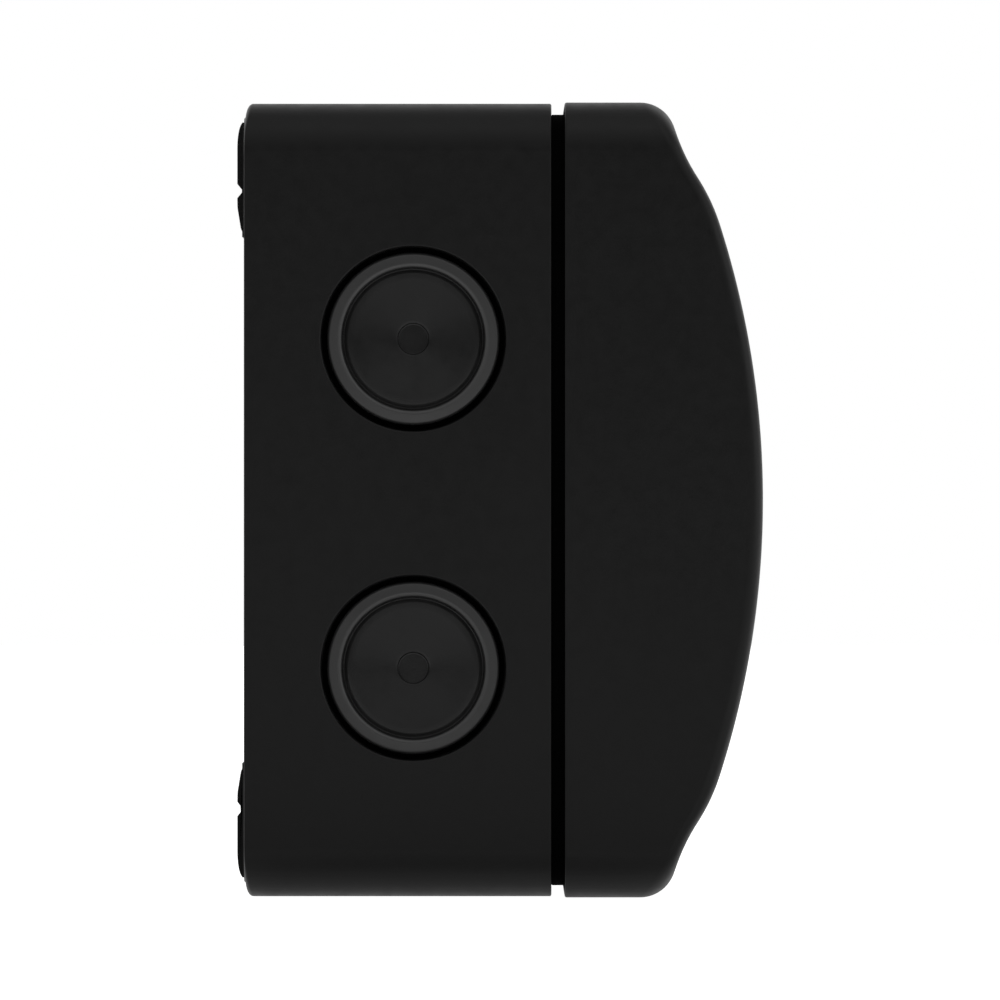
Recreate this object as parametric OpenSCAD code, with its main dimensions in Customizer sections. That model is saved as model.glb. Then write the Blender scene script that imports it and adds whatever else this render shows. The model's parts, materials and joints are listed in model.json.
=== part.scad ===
// Compact two-aspect pedestrian signal for wall or post mounting.
// The origin is the centre of the mounting plane. +Z is up and the lit face looks along -Y,
// so a depth d lies at Y = -d.

/* [Enclosure] */
// Width of the front cover
cover_w = 130; // [130:1:134]
// Height of the front cover
cover_h = 130; // [129.6:0.2:131]
// How far the housing stands inside the cover's outline on each side
housing_step = 0.2; // [0:0.1:0.4]
// Radius of the four long corners that run from back to front
corner_r = 8; // [7.5:0.5:9]
// Wall thickness of the housing and the cover
wall = 3; // [2.8:0.1:3.1]
// Depth of the housing's back face, in front of the mounting plane
back_d = 1.15; // [1:0.05:1.3]
// Depth of the housing's front rim
rim_d = 51.35; // [50.8:0.05:51.6]
// Open joint between the housing and the cover
seal_gap = 2.15; // [2:0.05:2.3]
// How far the seal stands back from the cover's outline
seal_inset = 2; // [1.8:0.1:2.2]

/* [Front face] */
// Depth of the crown of the bowed front face
crown_d = 85.9; // [85.5:0.1:86.5]
// Radius of the bowed front face
face_r = 147.4; // [146:0.2:150]
// Angle, seen from the side, at which the bowed face ends
face_angle = 17.8; // [17.6:0.1:18]
// Radius of the brow that turns the face backwards
brow_r = 32; // [31:0.5:33]
// Angle at which the brow ends
brow_angle = 33; // [32.5:0.5:33.5]
// Radius of the hollow slope behind the brow
cove_r = 31.4; // [31:0.2:32]
// Angle at which the hollow slope ends
cove_angle = 16.6; // [16:0.2:17]

/* [Windows] */
// Width of each window
window_w = 84; // [80:1:84]
// Height of each window
window_h = 38; // [36:1:38]
// Bar between the two windows
window_bar = 7; // [7:0.5:8]
// Radius of the windows' corners
window_r = 4; // [3:0.5:5]
// How far the lenses stand back from the face
lens_recess = 0.3; // [0.2:0.1:0.5]
// Height of the figures in the masks
figure_h = 32; // [28:1:33]

/* [Side plugs] */
// Depth of the plugs' axis
plug_d = 28.8; // [28:0.2:29]
// Height of the upper plug's axis
plug_upper_z = 26.3; // [26:0.1:27]
// Height of the lower plug's axis
plug_lower_z = -27.4; // [-28:0.1:-27]
// Radius of the recess round a plug
recess_r = 15.1; // [15:0.1:15.4]
// Radius of a plug's head
plug_r = 14.1; // [13.8:0.1:14.3]
// Radius of the cable entry behind a plug
entry_r = 10; // [9:0.5:10]

/* [Fixings] */
// Distance between the wall fixings from left to right
fixing_x = 84; // [80:1:84]
// Distance between the wall fixings from top to bottom
fixing_z = 112; // [111:0.5:112]
// Radius of a wall fixing hole
fixing_r = 2.75; // [2.25:0.25:2.75]
// Distance from the middle to a cover screw, sideways
screw_x = 54; // [54:0.5:54.5]
// Distance from the middle to a cover screw, upwards
screw_z = 56.5; // [56.5:0.1:56.7]

/* [Hidden] */
$fn = 72;

// Room for a cut to run past the face that it opens
past = 1;
// How far two shapes of one body run into each other
bite = 0.1;
// Facets of the large cylinders that shape the face
face_fn = 360;
housing_w = cover_w - 2 * housing_step;
housing_h = cover_h - 2 * housing_step;
floor_d = back_d + wall;
cover_d = rim_d + seal_gap;

// Side profile of the face: each arc is tangent to the next
function polar(angle, r) = r * [cos(angle), sin(angle)];
// Levels where two bands meet are whole thousandths, so that they meet exactly
function snap(level) = round(level * 1000) / 1000;
face_c = [crown_d - face_r, 0];
brow_c = face_c + polar(face_angle, face_r - brow_r);
cove_c = brow_c + polar(brow_angle, brow_r + cove_r);
cove_end = cove_c - polar(cove_angle, cove_r);
edge_r = (cover_h / 2 - cove_end.y) / (1 - sin(cove_angle));
edge_c = cove_end - polar(cove_angle, edge_r);
// Depth of a cylinder of radius r round the face's centre, at height z
function face_depth(r, z) = face_c.x + sqrt(r * r - z * z);

// Radii of the layers behind the face, from the front backwards
lens_front_r = face_r - lens_recess;
gasket_front_r = face_r - wall;
flange_front_r = gasket_front_r - 0.8;
mask_front_r = flange_front_r - 2;
frame_front_r = mask_front_r - 0.5;
frame_back_r = frame_front_r - 2.5;
box_front_r = frame_back_r - 0.6;
diffuser_front_r = box_front_r - 1;
diffuser_back_r = diffuser_front_r - 1.5;
window_z = (window_bar + window_h) / 2;
flange_w = 2;
lens_play = 0.2;

// Lens frame and its screws
frame_w = 102;
frame_h = 2 * window_z + window_h + 8;
frame_screw_x = 48;
frame_screw_z = 38;
frame_boss_r = 3;
frame_screw_r = 1.25;
frame_head_r = 2.3;
frame_head_t = 1.6;
frame_head_bevel = 0.5;
frame_screw_l = 7;
frame_screw_tip = [0.85, 0.8];
frame_drive_r = 0.9;
frame_drive_t = 0.7;
frame_play = 0.2;

// Cover screws, M4, held in the cover by a clip
screw_r = 2;
screw_fit = 0.05;
screw_hole_r = 2.3;
head_r = 3.9;
head_t = 2.6;
seat_d = 65;
counterbore_r = 4.4;
screw_seal_t = 1;
clip_r = 3.2;
clip_d = 52.5;
clip_t = 0.8;
clip_slot = 2.4;
post_d = 60;
post_x = 49;
post_z = 51.5;
tower_d = 48;
tower_x = 48.5;
tower_z = 51;
insert_r = 2.8;
insert_l = 6;
tip_d = tower_d - insert_l;
pilot_r = 2.2;
pilot_l = 12;
drive_w = 4.2;
drive_slot = 0.9;
drive_t = 1.5;
head_bevel = [1, 0.9];
tip_bevel = [0.5, 0.6];

// Seal between the housing and the cover
lip_l = 3;
lip_w = 1.2;

// Feet on the back face, each a raised land with a rubber pad
foot_w = 24;
foot_x = 46;
foot_top = 61.7;
foot_bottom = 43;
foot_land_t = 0.35;
foot_ramp = 5;
foot_round = 0.5;
notch_z = 50.5;
notch_half = 0.6;
notch_t = 0.7;
pad_key_inset = 3;
pad_key_t = 1;
sleeve_r = 3.3;
pad_hole_r = 3.4;
collar_r = 6;
collar_t = 2;

// Blanking plugs: the outline of a plug is radius across and height above the head's underside
recess_t = 4;
entry_boss_r = 17.6;
entry_boss_x = 56;
plug_seal_t = 1;
plug_seal_r = 14.9;
plug_fit = 0.05;
plug_bottom_x = housing_w / 2 - recess_t + plug_seal_t;
shank_r = entry_r - plug_fit;
shank_l = 7.8;
shank_bevel = 0.6;
shank_bore_r = 8.2;
shank_top = 0.8;
head_side_t = 1.8;
head_shoulder = [plug_r - 0.9, 2.6];
head_crest = [plug_r - 1.8, 2.7];
groove_r = [plug_r - 2.9, plug_r - 2.6];
groove_t = 1.5;
groove_lip = [plug_r - 2.5, 1.9];
dish_r = [2.8, plug_r - 3];
dish_t = [1.45, 1.85];
dimple_r = 2.2;
dimple_t = [0.9, 1];

// Driver board and its posts
board_d = 10.15;
board_t = 1.6;
board_w = 94;
board_h = 84;
board_top_d = board_d + board_t;
board_post_x = 42;
board_post_z = 36;
post_r = 3.5;
post_floor_t = 0.5;
m3_r = 1.5;
m3_fit = 0.1;
m3_tip = [0.4, 0.5];
m3_head_r = 2.75;
m3_head_t = 2;
m3_head_bevel = [0.8, 0.7];
m3_drive_r = 1.1;
m3_drive_t = 1.2;
board_screw_l = 6;
chassis_screw_l = 9;
tab_x = [-36, 2];
tab_z = -60;

// Chassis plate that carries the lamp boards
chassis_d = 44;
chassis_t = 2;
chassis_w = 111;
chassis_h = 92;
chassis_r = 3;
pillar_x = 52;
pillar_z = 42;
pillar_hole_l = 10;
lamp_d = chassis_d + chassis_t;
lamp_board_t = 1.6;
lamp_board_w = 92;
lamp_board_h = 43;
lamp_top_d = lamp_d + lamp_board_t;
box_wall = 1.5;
box_w = window_w + 2 * box_wall;
box_h = window_h + 0.5 + 2 * box_wall;
box_flange_t = 1.5;
box_r = 1.5;
lamp_board_r = 1;
peg_x = 44.8;
peg_z = 16;
peg_r = 1.1;
peg_fit = 0.05;
peg_head_t = 0.5;

// Lamps on a board
lamp_columns = 5;
lamp_rows = 3;
lamp_pitch_x = 16;
lamp_pitch_z = 12;
lamp_size = 3.6;
lamp_base_t = 0.8;
lamp_dome_r = 1.5;
lamp_dome_fn = 24;

// Flat cables between the driver board and the lamp boards
link_x = 36;
link_w = 10;
link_t = 1;
link_bend = 4;
link_low_z = 30;
link_high_z = 16;
link_low_d = 20;
link_high_d = 38;
link_turn_d = 29;
plug_body = [10.4, 5];
link_slot = [12, 6.4];

// Terminal block with three poles
pole_pitch = 7.5;
poles = 3;
terminal_x = -22;
terminal_z = -52;
terminal_depth = 12;
terminal_t = 16;
wire_size = 3.6;
wire_d = 16;
wire_top_d = 19.9;
well_r = 2.75;
well_d = 21.3;
terminal_screw_r = 1.5;
terminal_head_r = 2.4;
terminal_head_d = 24.6;
terminal_head_t = 1.7;
leaf_size = 3;
leaf_t = 0.6;
slot_w = 0.8;
slot_t = 0.9;

// Parts on the driver board: the middle, then the size or radius and the height
cap_x = -24;
cap_z = 22;
cap_r = 8;
cap_l = 22;
cap_neck = [7.6, 2.1];
cap_bead_t = 0.5;
core_x = 14;
core_z = 18;
core_size = [22, 24];
winding_size = [18, 20];
core_t = 3;
winding_t = 14;
fuse_x = [-26, -6];
fuse_z = -14;
fuse_up = 5;
fuse_cap_r = 2.6;
fuse_cap_l = 5;
fuse_glass_r = 2.3;
clip_x = [-25, -10];
clip_w = 3;
clip_half = 3.6;
clip_mouth = 2;
clip_up = 6.5;
varistor_x = [16, 20];
varistor_z = -22;
varistor_r = 6;
varistor_up = 8;
varistor_pin_z = 2.5;
varistor_pin_r = 0.4;
// Chips: left, right, bottom, top, height
chips = [[-8, 2, -8, 0, 1.6], [8, 15, -10, -5, 1.4], [-10, -4, 30, 36, 1.4]];

// Entry for the supply cable, through the back, and the vent in the underside
grommet_x = 16;
grommet_z = -51.5;
grommet_r = 7.5;
grommet_flange_r = 9.5;
grommet_flange_t = 0.9;
grommet_wall = 2;
grommet_bevel = 1;
membrane_t = 0.8;
membrane_up = 2;
vent_x = 30;
vent_d = 30;
vent_r = 5;
vent_flange_r = 7;
vent_flange_t = 1.4;
vent_bore_r = 2.6;
vent_l = 4;
vent_membrane_r = 4.5;
vent_membrane_t = 0.3;

// ---------------------------------------------------------------- helpers

// Takes a front-view outline (X across, Z up) and runs it from depth d0 to depth d1
module forward(d0, d1) {
    translate([0, -d0, 0]) rotate([90, 0, 0]) linear_extrude(d1 - d0) children();
}

// Takes a side-view outline (depth across, Z up) and runs it w wide, centred on x
module across(w, x = 0) {
    translate([x, 0, 0]) rotate([90, 0, -90]) linear_extrude(w, center = true) children();
}

// A shape of revolution whose axis points forward from depth d0; its outline is radius across, height up
module turned_forward(x, z, d0) {
    translate([x, -d0, z]) rotate([90, 0, 0]) rotate_extrude() children();
}

// A straight pin that points forward
module pin(x, z, r, d0, d1) {
    translate([x, -d0, z]) rotate([90, 0, 0]) cylinder(r = r, h = d1 - d0);
}

// A box from its front-view corners and its depths
module block(x0, x1, z0, z1, d0, d1) {
    translate([x0, -d1, z0]) cube([x1 - x0, d1 - d0, z1 - z0]);
}

// A rectangle with round corners, centred
module rounded(w, h, r) {
    square([w - 2 * r, h], center = true);
    square([w, h - 2 * r], center = true);
    for (x = [-1, 1], z = [-1, 1])
        translate([x * (w / 2 - r), z * (h / 2 - r)]) circle(r);
}

// A closed frame with round corners
module ring_outline(w, h, r, width) {
    difference() {
        rounded(w, h, r);
        rounded(w - 2 * width, h - 2 * width, r - width);
    }
}

// A band of the side view between two heights
module band(d0, d1, z0, z1) {
    translate([d0, z0]) square([d1 - d0, z1 - z0]);
}

// A bowed sheet between two radii round the face's centre, between two heights
module bowed_sheet(r_back, r_front, z0, z1) {
    intersection() {
        difference() {
            translate(face_c) circle(r_front, $fn = face_fn);
            translate(face_c) circle(r_back, $fn = face_fn);
        }
        band(0, crown_d + past, z0, z1);
    }
}

module at_corners(x, z) {
    for (sx = [-1, 1], sz = [-1, 1]) translate([sx * x, 0, sz * z]) children();
}

// Corner numbers: 1 top left, 2 top right, 3 bottom left, 4 bottom right, seen from the front
function corner_x(i) = (i % 2 == 1 ? -1 : 1) * screw_x;
function corner_z(i) = (i <= 2 ? 1 : -1) * screw_z;

// ---------------------------------------------------------------- housing

module foot_land() {
    block(
        foot_x - foot_w / 2, foot_x + foot_w / 2, foot_bottom, foot_top,
        back_d - foot_land_t, back_d + past
    );
}

// The key on the back of a pad, and the pocket that it sits in
module foot_key() {
    block(
        foot_x - foot_w / 2 + pad_key_inset, foot_x + foot_w / 2 - pad_key_inset,
        foot_bottom + pad_key_inset, foot_top - pad_key_inset,
        back_d - foot_land_t, back_d - foot_land_t + pad_key_t
    );
}

module four_ways() {
    for (mx = [0, 1], mz = [0, 1]) mirror([mx, 0, 0]) mirror([0, 0, mz]) children();
}

module entry(z) {
    translate([-housing_w / 2, -plug_d, z]) rotate([0, 90, 0]) children();
}

module base_housing() color([0.12, 0.12, 0.125]) {
    inner_w = housing_w - 2 * wall;
    inner_h = housing_h - 2 * wall;
    difference() {
        union() {
            difference() {
                forward(back_d, rim_d) rounded(housing_w, housing_h, corner_r);
                forward(floor_d, rim_d + past) rounded(inner_w, inner_h, corner_r - wall);
            }
            four_ways() {
                foot_land();
                block(tower_x, inner_w / 2 + bite, tower_z, inner_h / 2 + bite, floor_d - past, tower_d);
            }
            at_corners(fixing_x / 2, fixing_z / 2) {
                pin(0, 0, collar_r, floor_d - past, floor_d + collar_t);
                pin(0, 0, sleeve_r, 0, floor_d - past);
            }
            at_corners(board_post_x, board_post_z) pin(0, 0, post_r, floor_d - past, board_d);
            at_corners(pillar_x, pillar_z) pin(0, 0, post_r, floor_d - past, chassis_d);
            for (z = [plug_upper_z, plug_lower_z]) entry(z) translate([0, 0, wall - bite])
                cylinder(r = entry_boss_r, h = housing_w / 2 - entry_boss_x - wall + bite);
        }
        four_ways() difference() {
            foot_key();
            pin(fixing_x / 2, fixing_z / 2, sleeve_r, 0, floor_d);
        }
        at_corners(fixing_x / 2, fixing_z / 2) pin(0, 0, fixing_r, -past, floor_d + collar_t + past);
        at_corners(board_post_x, board_post_z) pin(0, 0, m3_r, floor_d + post_floor_t, board_d + past);
        at_corners(pillar_x, pillar_z) pin(0, 0, m3_r, chassis_d - pillar_hole_l, chassis_d + past);
        at_corners(screw_x, screw_z) {
            pin(0, 0, insert_r, tip_d, tower_d + past);
            pin(0, 0, pilot_r, tower_d - pilot_l, tower_d);
        }
        for (z = [plug_upper_z, plug_lower_z]) entry(z) {
            translate([0, 0, -past]) cylinder(r = recess_r, h = recess_t + past);
            cylinder(r = entry_r, h = housing_w / 2 - entry_boss_x + past);
        }
        pin(grommet_x, grommet_z, grommet_r, 0, floor_d + past);
        translate([vent_x, -vent_d, -housing_h / 2 - past]) {
            cylinder(r = vent_flange_r, h = vent_flange_t + past);
            cylinder(r = vent_r, h = wall + 2 * past);
        }
    }
}

// One pad, drawn for the upper corner: steep outer end, flat crown with a notch, and a ramp inwards
module foot_pad() {
    land_d = back_d - foot_land_t;
    difference() {
        union() {
            across(foot_w, foot_x) polygon([
                [land_d, foot_bottom], [0, foot_bottom + foot_ramp],
                [0, notch_z - notch_half], [notch_t, notch_z], [0, notch_z + notch_half],
                [0, foot_top - foot_round], [foot_round, foot_top], [land_d, foot_top]
            ]);
            foot_key();
        }
        pin(fixing_x / 2, fixing_z / 2, pad_hole_r, -past, floor_d);
    }
}

module foot_pads() color([0.07, 0.07, 0.07]) four_ways() foot_pad();

module threaded_inserts() color([0.75, 0.6, 0.3]) at_corners(screw_x, screw_z) difference() {
    pin(0, 0, insert_r, tip_d, tower_d);
    pin(0, 0, screw_r + screw_fit, tip_d - past, tower_d + past);
}

// Closed rubber grommet: a flange on each side of the back wall and a thin membrane to be cut for the cable
module cable_grommet() color([0.1, 0.1, 0.1]) {
    outer_d = back_d - grommet_flange_t;
    total_t = wall + 2 * grommet_flange_t;
    tube_r = grommet_r - grommet_wall;
    neck_r = tube_r - grommet_bevel;
    turned_forward(grommet_x, grommet_z, outer_d) polygon([
        [0, membrane_up], [neck_r, membrane_up], [tube_r, 0],
        [grommet_flange_r, 0], [grommet_flange_r, grommet_flange_t],
        [grommet_r, grommet_flange_t], [grommet_r, total_t - grommet_flange_t],
        [grommet_flange_r, total_t - grommet_flange_t], [grommet_flange_r, total_t],
        [tube_r, total_t], [neck_r, membrane_up + membrane_t], [0, membrane_up + membrane_t]
    ]);
}

module at_vent() {
    translate([vent_x, -vent_d, -housing_h / 2]) children();
}

// Vent plug: flush flange, stem through the underside and a bore that the membrane closes
module vent_plug() color([0.12, 0.12, 0.12]) at_vent() difference() {
    union() {
        translate([0, 0, bite]) cylinder(r = vent_flange_r, h = vent_flange_t - bite);
        translate([0, 0, vent_flange_t - bite]) cylinder(r = vent_r, h = vent_l + bite);
    }
    translate([0, 0, -past]) cylinder(r = vent_bore_r, h = vent_flange_t + vent_l + 2 * past);
}

module vent_membrane() color([0.9, 0.9, 0.88]) at_vent()
    translate([0, 0, vent_flange_t + vent_l]) cylinder(r = vent_membrane_r, h = vent_membrane_t);

// ---------------------------------------------------------------- side plugs

// Push-in blanking plug: hollow shank, raised rim, groove, dished face and central dimple
module side_plug(z) color([0.11, 0.11, 0.115])
    translate([-plug_bottom_x, -plug_d, z]) rotate([0, -90, 0]) rotate_extrude() polygon([
        [0, -shank_top], [shank_bore_r, -shank_top], [shank_bore_r, -shank_l],
        [shank_r - shank_bevel, -shank_l], [shank_r, shank_bevel - shank_l], [shank_r, 0],
        [plug_r, 0], [plug_r, head_side_t], head_shoulder, head_crest, groove_lip,
        [groove_r[1], groove_t], [groove_r[0], groove_t],
        [dish_r[1], dish_t[1]], [dish_r[0], dish_t[0]], [dimple_r, dimple_t[1]], [0, dimple_t[0]]
    ]);

module plug_seal(z) color([0.06, 0.06, 0.06])
    translate([-plug_bottom_x, -plug_d, z]) rotate([0, 90, 0]) difference() {
        cylinder(r = plug_seal_r, h = plug_seal_t);
        translate([0, 0, -past]) cylinder(r = shank_r, h = plug_seal_t + 2 * past);
    }

// ---------------------------------------------------------------- cover

// The cover's side outline: bowed face, brow, hollow slope and round edge, moved inwards by inset
module cover_outline(inset, d0) {
    face_top = snap(polar(face_angle, face_r - inset).y);
    brow_end = brow_c + polar(brow_angle, brow_r - inset);
    brow_top = snap(brow_end.y);
    cove_top = snap((cove_c - polar(cove_angle, cove_r + inset)).y);
    intersection() {
        translate(face_c) circle(face_r - inset, $fn = face_fn);
        band(d0, crown_d + past, -face_top, face_top);
    }
    for (side = [0, 1]) mirror([0, side]) {
        intersection() {
            translate(brow_c) circle(brow_r - inset, $fn = 180);
            band(d0, crown_d, face_top, brow_top);
        }
        difference() {
            band(d0, brow_end.x + past, brow_top, cove_top);
            translate(cove_c) circle(cove_r + inset, $fn = 180);
        }
        intersection() {
            band(d0, crown_d, cove_top, cover_h / 2 - inset);
            union() {
                translate(edge_c) circle(edge_r - inset);
                band(d0, edge_c.x, cove_top, cover_h / 2 - inset);
            }
        }
    }
}

module cover_form(inset, d0) intersection() {
    across(cover_w + past) cover_outline(inset, d0);
    forward(d0, crown_d + past) rounded(cover_w - 2 * inset, cover_h - 2 * inset, corner_r - inset);
}

module windows(w, h, r) {
    for (side = [-1, 1]) translate([0, side * window_z]) rounded(w, h, r);
}

module frame_screw_points() {
    for (x = [-1, 1], z = [-1, 0, 1]) translate([x * frame_screw_x, z * frame_screw_z]) children();
}

module front_cover() color([0.11, 0.11, 0.115]) difference() {
    cover_form(0, cover_d);
    difference() {
        cover_form(wall, cover_d - past);
        four_ways() block(post_x, cover_w / 2, post_z, cover_h / 2, post_d, crown_d);
        difference() {
            forward(post_d, crown_d) frame_screw_points() circle(frame_boss_r);
            across(cover_w) translate(face_c) circle(frame_front_r, $fn = face_fn);
        }
    }
    at_corners(screw_x, screw_z) {
        pin(0, 0, counterbore_r, seat_d, crown_d);
        pin(0, 0, screw_hole_r, post_d - past, seat_d + past);
    }
    forward(post_d, crown_d + past) windows(window_w, window_h, window_r);
    for (x = [-1, 1], z = [-1, 0, 1])
        pin(
            x * frame_screw_x, z * frame_screw_z, frame_screw_r,
            post_d, face_depth(frame_back_r, z * frame_screw_z + frame_head_r) + frame_screw_l
        );
}

// Seal between housing and cover: a visible band with a lip inside the housing's rim
module cover_gasket() color([0.05, 0.05, 0.05]) {
    inner_w = housing_w - 2 * wall;
    inner_h = housing_h - 2 * wall;
    difference() {
        union() {
            forward(rim_d, cover_d)
                rounded(cover_w - 2 * seal_inset, cover_h - 2 * seal_inset, corner_r - seal_inset);
            forward(rim_d - lip_l, rim_d + bite) rounded(inner_w, inner_h, corner_r - wall);
        }
        forward(rim_d - lip_l - past, cover_d + past)
            rounded(inner_w - 2 * lip_w, inner_h - 2 * lip_w, corner_r - wall - lip_w);
    }
}

// Captive screw with a cross recess, in the corner of the given number
module cover_screw(i) color([0.62, 0.62, 0.6]) {
    under_head = seat_d + screw_seal_t;
    difference() {
        union() {
            turned_forward(corner_x(i), corner_z(i), under_head) polygon([
                [0, 0], [head_r, 0], [head_r, head_t - head_bevel.y],
                [head_r - head_bevel.x, head_t], [0, head_t]
            ]);
            turned_forward(corner_x(i), corner_z(i), tip_d) polygon([
                [0, 0], [screw_r - tip_bevel.x, 0], [screw_r, tip_bevel.y],
                [screw_r, under_head - tip_d + bite], [0, under_head - tip_d + bite]
            ]);
        }
        translate([corner_x(i), 0, corner_z(i)])
            forward(under_head + head_t - drive_t, under_head + head_t + past) {
                square([drive_w, drive_slot], center = true);
                square([drive_slot, drive_w], center = true);
            }
    }
}

module screw_seal(i) color([0.08, 0.08, 0.08]) difference() {
    pin(corner_x(i), corner_z(i), head_r, seat_d, seat_d + screw_seal_t);
    pin(corner_x(i), corner_z(i), screw_r + screw_fit, seat_d - past, seat_d + screw_seal_t + past);
}

// Open retaining clip that keeps a cover screw in the cover
module screw_clip(i) color([0.45, 0.45, 0.45]) translate([corner_x(i), 0, corner_z(i)]) difference() {
    pin(0, 0, clip_r, clip_d, clip_d + clip_t);
    pin(0, 0, screw_r + screw_fit, clip_d - past, clip_d + clip_t + past);
    block(-clip_slot / 2, clip_slot / 2, -clip_r - past, 0, clip_d - past, clip_d + clip_t + past);
}

// ---------------------------------------------------------------- lenses

// side is 1 for the upper window and -1 for the lower one
module lens(side) color(side == 1 ? [0.5, 0.05, 0.04] : [0.03, 0.35, 0.2]) intersection() {
    across(cover_w) bowed_sheet(mask_front_r, lens_front_r, -cover_h / 2, cover_h / 2);
    union() {
        forward(post_d, crown_d) translate([0, side * window_z])
            rounded(window_w - 2 * lens_play, window_h - 2 * lens_play, window_r - lens_play);
        intersection() {
            across(cover_w) bowed_sheet(mask_front_r, flange_front_r, -cover_h / 2, cover_h / 2);
            forward(post_d, crown_d) translate([0, side * window_z])
                rounded(window_w + 2 * flange_w, window_h + 2 * flange_w, window_r + flange_w);
        }
    }
}

module lens_gasket(side) color([0.06, 0.06, 0.06]) intersection() {
    across(cover_w) bowed_sheet(flange_front_r, gasket_front_r, -cover_h / 2, cover_h / 2);
    forward(post_d, crown_d) translate([0, side * window_z])
        ring_outline(
            window_w + 2 * flange_w, window_h + 2 * flange_w, window_r + flange_w, flange_w - lens_play
        );
}

// Standing person, one unit high
module standing_figure() {
    translate([0, 0.9]) circle(0.09);
    translate([-0.14, 0.4]) square([0.28, 0.38]);
    for (side = [-1, 1]) {
        translate([side * 0.185, 0.6]) square([0.06, 0.36], center = true);
        translate([side * 0.075, 0.2]) square([0.12, 0.4], center = true);
    }
}

// Walking person, one unit high, striding to the left
module walking_figure() {
    translate([-0.02, 0.9]) circle(0.09);
    polygon([[-0.1, 0.79], [0.1, 0.79], [0.13, 0.4], [-0.1, 0.4]]);
    polygon([[-0.1, 0.42], [0.03, 0.42], [-0.13, 0.22], [-0.22, 0], [-0.33, 0], [-0.24, 0.26]]);
    polygon([[0, 0.42], [0.13, 0.42], [0.2, 0.2], [0.34, 0.06], [0.26, 0], [0.09, 0.17]]);
    polygon([
        [-0.09, 0.79], [-0.11, 0.66], [-0.24, 0.56], [-0.34, 0.6], [-0.36, 0.54], [-0.25, 0.48], [-0.09, 0.6]
    ]);
    polygon([
        [0.09, 0.79], [0.12, 0.66], [0.26, 0.52], [0.3, 0.42], [0.24, 0.4], [0.2, 0.49], [0.09, 0.58]
    ]);
}

module figure_mask(side) color([0.03, 0.03, 0.03]) intersection() {
    across(cover_w) bowed_sheet(frame_front_r, mask_front_r, -cover_h / 2, cover_h / 2);
    forward(post_d, crown_d) translate([0, side * window_z]) difference() {
        rounded(window_w + 2 * flange_w, window_h + 2 * flange_w, window_r + flange_w);
        translate([0, -figure_h / 2]) scale(figure_h) {
            if (side == 1) standing_figure();
            else walking_figure();
        }
    }
}

// Frame screwed into the cover that clamps both lenses and masks
module lens_frame() color([0.1, 0.1, 0.1]) difference() {
    intersection() {
        across(cover_w) bowed_sheet(frame_back_r, frame_front_r, -cover_h / 2, cover_h / 2);
        forward(post_d, crown_d) difference() {
            rounded(frame_w, frame_h, window_r);
            windows(window_w, window_h, window_r);
        }
    }
    for (x = [-1, 1], z = [-1, 0, 1]) {
        seat = face_depth(frame_back_r, abs(z) * frame_screw_z + frame_head_r);
        pin(x * frame_screw_x, z * frame_screw_z, frame_screw_r + frame_play, post_d, crown_d);
        pin(x * frame_screw_x, z * frame_screw_z, frame_head_r + frame_play, post_d, seat + frame_play);
    }
}

module frame_screws() color([0.6, 0.6, 0.58]) for (x = [-1, 1], z = [-1, 0, 1]) {
    seat = face_depth(frame_back_r, abs(z) * frame_screw_z + frame_head_r) + frame_play;
    tip = frame_head_t + frame_screw_l - 2 * frame_play;
    turned_forward(x * frame_screw_x, z * frame_screw_z, seat - frame_head_t) polygon([
        [0, frame_drive_t], [frame_drive_r, frame_drive_t], [frame_drive_r, 0],
        [frame_head_r - frame_head_bevel, 0], [frame_head_r, frame_head_bevel], [frame_head_r, frame_head_t],
        [frame_screw_r, frame_head_t], [frame_screw_r, tip - frame_screw_tip.y],
        [frame_screw_r - frame_screw_tip.x, tip], [0, tip]
    ]);
}

// ---------------------------------------------------------------- lamps

module chassis() color([0.75, 0.76, 0.77]) forward(chassis_d, lamp_d) difference() {
    rounded(chassis_w, chassis_h, chassis_r);
    for (x = [-1, 1], z = [-1, 1]) {
        translate([x * pillar_x, z * pillar_z]) circle(m3_r + m3_fit);
        for (s = [-1, 1]) translate([x * peg_x, z * window_z + s * peg_z]) circle(peg_r + peg_fit);
    }
    for (side = [-1, 1]) translate([link_x, side * link_high_z]) square(link_slot, center = true);
}

module m3_screw(length) {
    polygon([
        [0, -length], [m3_r - m3_tip.x, -length], [m3_r, m3_tip.y - length], [m3_r, 0], [m3_head_r, 0],
        [m3_head_r, m3_head_t - m3_head_bevel.y], [m3_head_r - m3_head_bevel.x, m3_head_t],
        [m3_drive_r, m3_head_t], [m3_drive_r, m3_head_t - m3_drive_t], [0, m3_head_t - m3_drive_t]
    ]);
}

module chassis_screws() color([0.65, 0.65, 0.64])
    for (x = [-1, 1], z = [-1, 1])
        turned_forward(x * pillar_x, z * pillar_z, lamp_d) m3_screw(chassis_screw_l);

module board_screws() color([0.65, 0.65, 0.64])
    for (x = [-1, 1], z = [-1, 1])
        turned_forward(x * board_post_x, z * board_post_z, board_top_d) m3_screw(board_screw_l);

module led_board(side) color([0.92, 0.92, 0.9])
    forward(lamp_d, lamp_top_d) translate([0, side * window_z]) difference() {
        rounded(lamp_board_w, lamp_board_h, lamp_board_r);
        for (x = [-1, 1], s = [-1, 1]) translate([x * peg_x, s * peg_z]) circle(peg_r + peg_fit);
    }

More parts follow.
